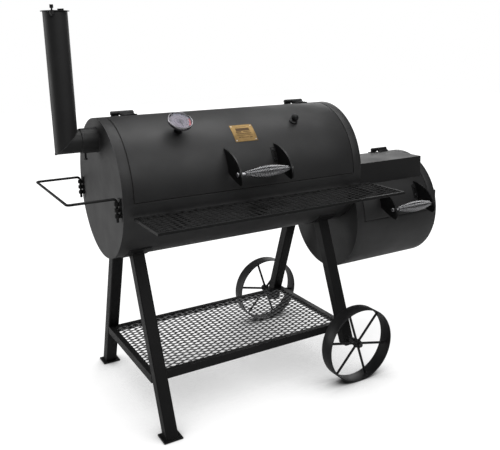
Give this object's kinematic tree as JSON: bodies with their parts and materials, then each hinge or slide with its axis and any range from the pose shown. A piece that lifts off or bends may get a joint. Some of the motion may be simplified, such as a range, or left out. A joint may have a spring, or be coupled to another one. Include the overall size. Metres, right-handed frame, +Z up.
{
  "type": "barrel charcoal grill",
  "caption": "Offset-firebox barrel charcoal grill on an A-frame stand with wagon wheels, chimney with damper, hinged lids with coil grips, work shelf and mesh lower shelf.",
  "frame": {"origin": "on the floor under the middle of the bounding box", "axes": "+X along the barrel towards the firebox, +Y towards the back, away from the cook, +Z up"},
  "size_m": [1.6508, 0.874, 1.4715],
  "materials": {
    "black_enamel": "satin heat-proof enamel with a fine orange peel",
    "frame_enamel": "satin powder coat, paler along worn edges",
    "mesh_enamel": "semi-gloss powder coat on expanded steel",
    "chimney_enamel": "satin heat-proof enamel",
    "dark_hardware": "black oxide fasteners and hinges",
    "cast_grate": "seasoned cast iron, slightly rough",
    "inner_steel": "matt heat-proof paint inside the barrels",
    "fin_enamel": "satin black plate",
    "nickel_coil": "nickel-plated spring wire",
    "zinc_bolt": "zinc-plated bolt",
    "axle_steel": "turned bar, painted black with bright wear",
    "bezel_steel": "polished stainless bezel",
    "dial_print": "pale printed dial with a red hot zone",
    "dial_glass": "clear flat lens",
    "needle_black": "matt pointer",
    "badge_brass": "brushed plate with a stamped rim",
    "wheel_enamel": "satin powder coat with scuffed tread"
  },
  "bodies": {
    "stand": {"barrel_shell": "black_enamel", "barrel_end_left": "black_enamel", "barrel_end_right": "black_enamel", "barrel_stop_strips": "inner_steel", "hinge_knuckles": "dark_hardware", "hinge_pins": "dark_hardware", "stack_collar": "chimney_enamel", "stack_elbow": "chimney_enamel", "stack_tube": "chimney_enamel", "stack_set_bolt": "dark_hardware", "damper_bolt": "dark_hardware", "lift_handle": "frame_enamel", "lift_handle_brackets": "frame_enamel", "work_shelf_frame": "frame_enamel", "work_shelf_mesh": "mesh_enamel", "work_shelf_brackets": "frame_enamel", "leg_front_left": "frame_enamel", "leg_front_right": "frame_enamel", "leg_rear_left": "frame_enamel", "leg_rear_right": "frame_enamel", "foot_plates": "frame_enamel", "leg_saddles": "frame_enamel", "lower_shelf_frame": "frame_enamel", "lower_shelf_mesh": "mesh_enamel", "shelf_bolts": "dark_hardware", "axle": "axle_steel", "axle_keepers": "dark_hardware", "firebox_shell": "black_enamel", "firebox_end_left": "black_enamel", "firebox_end_right": "black_enamel", "firebox_stop_strips": "inner_steel", "firebox_bolts": "dark_hardware", "cooking_grates": "cast_grate", "grate_rails": "inner_steel", "charcoal_grate": "cast_grate", "grease_drain": "frame_enamel", "door_hinge_lug": "dark_hardware"},
    "barrel_lid": {"lid_panel": "black_enamel", "lid_hinge_leaves": "dark_hardware", "lid_handle_fins": "fin_enamel", "lid_handle_bolt": "zinc_bolt", "lid_handle_coil": "nickel_coil", "thermometer_case": "bezel_steel", "thermometer_dial": "dial_print", "thermometer_glass": "dial_glass", "badge_plate": "badge_brass", "port_plug": "dark_hardware"},
    "needle": {"thermometer_needle": "needle_black"},
    "firebox_lid": {"firebox_lid_panel": "black_enamel", "warming_box": "black_enamel", "firebox_hinge_leaves": "dark_hardware", "firebox_handle_fins": "fin_enamel", "firebox_handle_bolt": "zinc_bolt", "firebox_handle_coil": "nickel_coil"},
    "side_door": {"side_door": "black_enamel", "side_door_handle": "frame_enamel"},
    "air_vent": {"air_vent": "frame_enamel"},
    "damper": {"stack_damper": "dark_hardware"},
    "wheel_front": {"wheel_front": "wheel_enamel"},
    "wheel_rear": {"wheel_rear": "wheel_enamel"}
  },
  "joints": [
    {"name": "barrel_lid_hinge", "type": "hinge", "parent": "stand", "child": "barrel_lid", "pos_m": [-0.1569, 0.1025, 1.09796], "axis": [-1, 0, 0], "range_deg": [0, 115]},
    {"name": "firebox_lid_hinge", "type": "hinge", "parent": "stand", "child": "firebox_lid", "pos_m": [0.5551, 0.07088, 0.85269], "axis": [-1, 0, 0], "range_deg": [0, 110]},
    {"name": "side_door_hinge", "type": "hinge", "parent": "stand", "child": "side_door", "pos_m": [0.7909, 0.27121, 0.6035], "axis": [0, 0, 1], "range_deg": [0, 120]},
    {"name": "air_vent_slide", "type": "slide", "parent": "side_door", "child": "air_vent", "axis": [0, 1, 0], "range_m": [0, 0.02]},
    {"name": "damper_swing", "type": "hinge", "parent": "stand", "child": "damper", "pos_m": [-0.7726, -0.00031, 1.452], "axis": [0, 0, 1], "range_deg": [-100, 100]},
    {"name": "needle_turn", "type": "hinge", "parent": "barrel_lid", "child": "needle", "pos_m": [-0.4009, -0.13326, 1.0799], "axis": [0, 0.5878, -0.809], "range_deg": [0, 280], "stiffness_Nm_per_rad": 0.0004},
    {"name": "wheel_front_spin", "type": "hinge", "parent": "stand", "child": "wheel_front", "pos_m": [0.2381, -0.32351, 0.1525], "axis": [0, 1, 0], "continuous": true},
    {"name": "wheel_rear_spin", "type": "hinge", "parent": "stand", "child": "wheel_rear", "pos_m": [0.2381, 0.40849, 0.1525], "axis": [0, 1, 0], "continuous": true}
  ]
}
